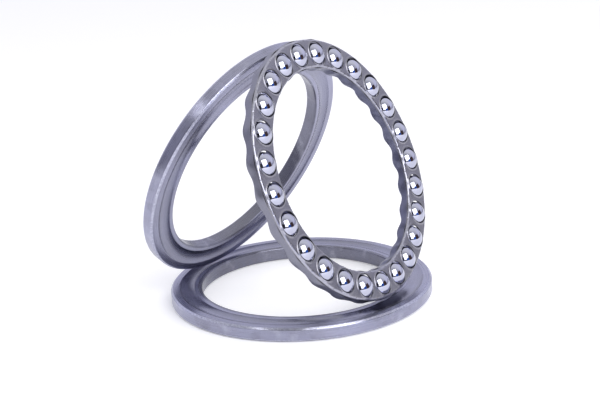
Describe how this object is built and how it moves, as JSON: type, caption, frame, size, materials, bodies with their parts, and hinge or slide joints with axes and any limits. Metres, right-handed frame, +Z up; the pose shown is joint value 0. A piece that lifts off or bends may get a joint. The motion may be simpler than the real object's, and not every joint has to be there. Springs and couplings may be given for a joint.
{
  "type": "thrust ball bearing",
  "caption": "Single-direction thrust ball bearing shown taken apart: one grooved washer lies flat, the other and the caged ring of balls stand leaning together",
  "frame": {"origin": "middle of the standing group's footprint box, on the surface that it stands on", "axes": "+Z up, out of the flat washer's raceway; the standing washer and the caged balls are turned to their places about it"},
  "size_m": [0.1122, 0.1186, 0.1026],
  "materials": {
    "ground_steel": "ground and honed, with fine circular lines",
    "pressed_steel": "pressed sheet, satin",
    "polished_steel": "mirror polish"
  },
  "bodies": {
    "shaft_washer": {"shaft_washer": "ground_steel"},
    "housing_washer": {"housing_washer": "ground_steel"},
    "cage": {"cage": "pressed_steel"},
    "ball_01": {"ball_01": "polished_steel"},
    "ball_02": {"ball_02": "polished_steel"},
    "ball_03": {"ball_03": "polished_steel"},
    "ball_04": {"ball_04": "polished_steel"},
    "ball_05": {"ball_05": "polished_steel"},
    "ball_06": {"ball_06": "polished_steel"},
    "ball_07": {"ball_07": "polished_steel"},
    "ball_08": {"ball_08": "polished_steel"},
    "ball_09": {"ball_09": "polished_steel"},
    "ball_10": {"ball_10": "polished_steel"},
    "ball_11": {"ball_11": "polished_steel"},
    "ball_12": {"ball_12": "polished_steel"},
    "ball_13": {"ball_13": "polished_steel"},
    "ball_14": {"ball_14": "polished_steel"},
    "ball_15": {"ball_15": "polished_steel"},
    "ball_16": {"ball_16": "polished_steel"},
    "ball_17": {"ball_17": "polished_steel"},
    "ball_18": {"ball_18": "polished_steel"},
    "ball_19": {"ball_19": "polished_steel"},
    "ball_20": {"ball_20": "polished_steel"},
    "ball_21": {"ball_21": "polished_steel"},
    "ball_22": {"ball_22": "polished_steel"},
    "ball_23": {"ball_23": "polished_steel"},
    "ball_24": {"ball_24": "polished_steel"},
    "ball_25": {"ball_25": "polished_steel"}
  },
  "joints": [
    {"name": "housing_washer_spin", "type": "hinge", "parent": "shaft_washer", "child": "housing_washer", "pos_m": [-0.01935, 0.01625, 0.05422], "axis": [-0.705, 0.562, 0.4326], "continuous": true},
    {"name": "cage_spin", "type": "hinge", "parent": "shaft_washer", "child": "cage", "pos_m": [0.02059, -0.0139, 0.05425], "axis": [0.7663, -0.512, 0.3882], "continuous": true},
    {"name": "ball_01_spin", "type": "hinge", "parent": "cage", "child": "ball_01", "pos_m": [-0.00823, -0.04744, 0.06691], "axis": [-0.6266, -0.7292, 0.2751], "continuous": true},
    {"name": "ball_02_spin", "type": "hinge", "parent": "cage", "child": "ball_02", "pos_m": [-0.0057, -0.05158, 0.05645], "axis": [-0.5715, -0.8192, 0.0478], "continuous": true},
    {"name": "ball_03_spin", "type": "hinge", "parent": "cage", "child": "ball_03", "pos_m": [-0.00151, -0.05336, 0.04585], "axis": [-0.4806, -0.8577, -0.1826], "continuous": true},
    {"name": "ball_04_spin", "type": "hinge", "parent": "cage", "child": "ball_04", "pos_m": [0.00406, -0.05265, 0.03578], "axis": [-0.3594, -0.8424, -0.4015], "continuous": true},
    {"name": "ball_05_spin", "type": "hinge", "parent": "cage", "child": "ball_05", "pos_m": [0.01067, -0.04951, 0.02687], "axis": [-0.2157, -0.7741, -0.5952], "continuous": true},
    {"name": "ball_06_spin", "type": "hinge", "parent": "cage", "child": "ball_06", "pos_m": [0.01791, -0.04413, 0.01968], "axis": [-0.0584, -0.6571, -0.7515], "continuous": true},
    {"name": "ball_07_spin", "type": "hinge", "parent": "cage", "child": "ball_07", "pos_m": [0.02531, -0.03685, 0.01466], "axis": [0.1025, -0.4989, -0.8606], "continuous": true},
    {"name": "ball_08_spin", "type": "hinge", "parent": "cage", "child": "ball_08", "pos_m": [0.03242, -0.02813, 0.01213], "axis": [0.2571, -0.3094, -0.9155], "continuous": true},
    {"name": "ball_09_spin", "type": "hinge", "parent": "cage", "child": "ball_09", "pos_m": [0.03878, -0.01852, 0.01225], "axis": [0.3954, -0.1004, -0.913], "continuous": true},
    {"name": "ball_10_spin", "type": "hinge", "parent": "cage", "child": "ball_10", "pos_m": [0.044, -0.00862, 0.01501], "axis": [0.5089, 0.1149, -0.8531], "continuous": true},
    {"name": "ball_11_spin", "type": "hinge", "parent": "cage", "child": "ball_11", "pos_m": [0.04776, 0.00096, 0.02023], "axis": [0.5905, 0.323, -0.7396], "continuous": true},
    {"name": "ball_12_spin", "type": "hinge", "parent": "cage", "child": "ball_12", "pos_m": [0.0498, 0.0096, 0.02759], "axis": [0.6349, 0.5108, -0.5796], "continuous": true},
    {"name": "ball_13_spin", "type": "hinge", "parent": "cage", "child": "ball_13", "pos_m": [0.05001, 0.01676, 0.03662], "axis": [0.6395, 0.6665, -0.3832], "continuous": true},
    {"name": "ball_14_spin", "type": "hinge", "parent": "cage", "child": "ball_14", "pos_m": [0.04837, 0.02199, 0.04676], "axis": [0.6038, 0.7803, -0.1627], "continuous": true},
    {"name": "ball_15_spin", "type": "hinge", "parent": "cage", "child": "ball_15", "pos_m": [0.04498, 0.02497, 0.05738], "axis": [0.5303, 0.8451, 0.068], "continuous": true},
    {"name": "ball_16_spin", "type": "hinge", "parent": "cage", "child": "ball_16", "pos_m": [0.04007, 0.02551, 0.06779], "axis": [0.4234, 0.8568, 0.2944], "continuous": true},
    {"name": "ball_17_spin", "type": "hinge", "parent": "cage", "child": "ball_17", "pos_m": [0.03393, 0.02357, 0.07736], "axis": [0.2899, 0.8146, 0.5023], "continuous": true},
    {"name": "ball_18_spin", "type": "hinge", "parent": "cage", "child": "ball_18", "pos_m": [0.02695, 0.01928, 0.08547], "axis": [0.1382, 0.7213, 0.6787], "continuous": true},
    {"name": "ball_19_spin", "type": "hinge", "parent": "cage", "child": "ball_19", "pos_m": [0.01957, 0.0129, 0.09162], "axis": [-0.0222, 0.5826, 0.8124], "continuous": true},
    {"name": "ball_20_spin", "type": "hinge", "parent": "cage", "child": "ball_20", "pos_m": [0.01226, 0.00484, 0.09542], "axis": [-0.1812, 0.4074, 0.8951], "continuous": true},
    {"name": "ball_21_spin", "type": "hinge", "parent": "cage", "child": "ball_21", "pos_m": [0.00547, -0.0044, 0.09664], "axis": [-0.3288, 0.2065, 0.9215], "continuous": true},
    {"name": "ball_22_spin", "type": "hinge", "parent": "cage", "child": "ball_22", "pos_m": [-0.00037, -0.01424, 0.09519], "axis": [-0.4558, -0.0073, 0.8901], "continuous": true},
    {"name": "ball_23_spin", "type": "hinge", "parent": "cage", "child": "ball_23", "pos_m": [-0.00489, -0.02406, 0.09117], "axis": [-0.5541, -0.2207, 0.8027], "continuous": true},
    {"name": "ball_24_spin", "type": "hinge", "parent": "cage", "child": "ball_24", "pos_m": [-0.00782, -0.03323, 0.08483], "axis": [-0.6176, -0.4202, 0.6648], "continuous": true},
    {"name": "ball_25_spin", "type": "hinge", "parent": "cage", "child": "ball_25", "pos_m": [-0.00895, -0.0412, 0.07657], "axis": [-0.6423, -0.5933, 0.4852], "continuous": true}
  ],
  "couplings": [
    {"joint": "cage_spin", "follows": "housing_washer_spin", "ratio": 0.5},
    {"joint": "ball_01_spin", "follows": "housing_washer_spin", "ratio": -4.6},
    {"joint": "ball_02_spin", "follows": "housing_washer_spin", "ratio": -4.6},
    {"joint": "ball_03_spin", "follows": "housing_washer_spin", "ratio": -4.6},
    {"joint": "ball_04_spin", "follows": "housing_washer_spin", "ratio": -4.6},
    {"joint": "ball_05_spin", "follows": "housing_washer_spin", "ratio": -4.6},
    {"joint": "ball_06_spin", "follows": "housing_washer_spin", "ratio": -4.6},
    {"joint": "ball_07_spin", "follows": "housing_washer_spin", "ratio": -4.6},
    {"joint": "ball_08_spin", "follows": "housing_washer_spin", "ratio": -4.6},
    {"joint": "ball_09_spin", "follows": "housing_washer_spin", "ratio": -4.6},
    {"joint": "ball_10_spin", "follows": "housing_washer_spin", "ratio": -4.6},
    {"joint": "ball_11_spin", "follows": "housing_washer_spin", "ratio": -4.6},
    {"joint": "ball_12_spin", "follows": "housing_washer_spin", "ratio": -4.6},
    {"joint": "ball_13_spin", "follows": "housing_washer_spin", "ratio": -4.6},
    {"joint": "ball_14_spin", "follows": "housing_washer_spin", "ratio": -4.6},
    {"joint": "ball_15_spin", "follows": "housing_washer_spin", "ratio": -4.6},
    {"joint": "ball_16_spin", "follows": "housing_washer_spin", "ratio": -4.6},
    {"joint": "ball_17_spin", "follows": "housing_washer_spin", "ratio": -4.6},
    {"joint": "ball_18_spin", "follows": "housing_washer_spin", "ratio": -4.6},
    {"joint": "ball_19_spin", "follows": "housing_washer_spin", "ratio": -4.6},
    {"joint": "ball_20_spin", "follows": "housing_washer_spin", "ratio": -4.6},
    {"joint": "ball_21_spin", "follows": "housing_washer_spin", "ratio": -4.6},
    {"joint": "ball_22_spin", "follows": "housing_washer_spin", "ratio": -4.6},
    {"joint": "ball_23_spin", "follows": "housing_washer_spin", "ratio": -4.6},
    {"joint": "ball_24_spin", "follows": "housing_washer_spin", "ratio": -4.6},
    {"joint": "ball_25_spin", "follows": "housing_washer_spin", "ratio": -4.6}
  ]
}
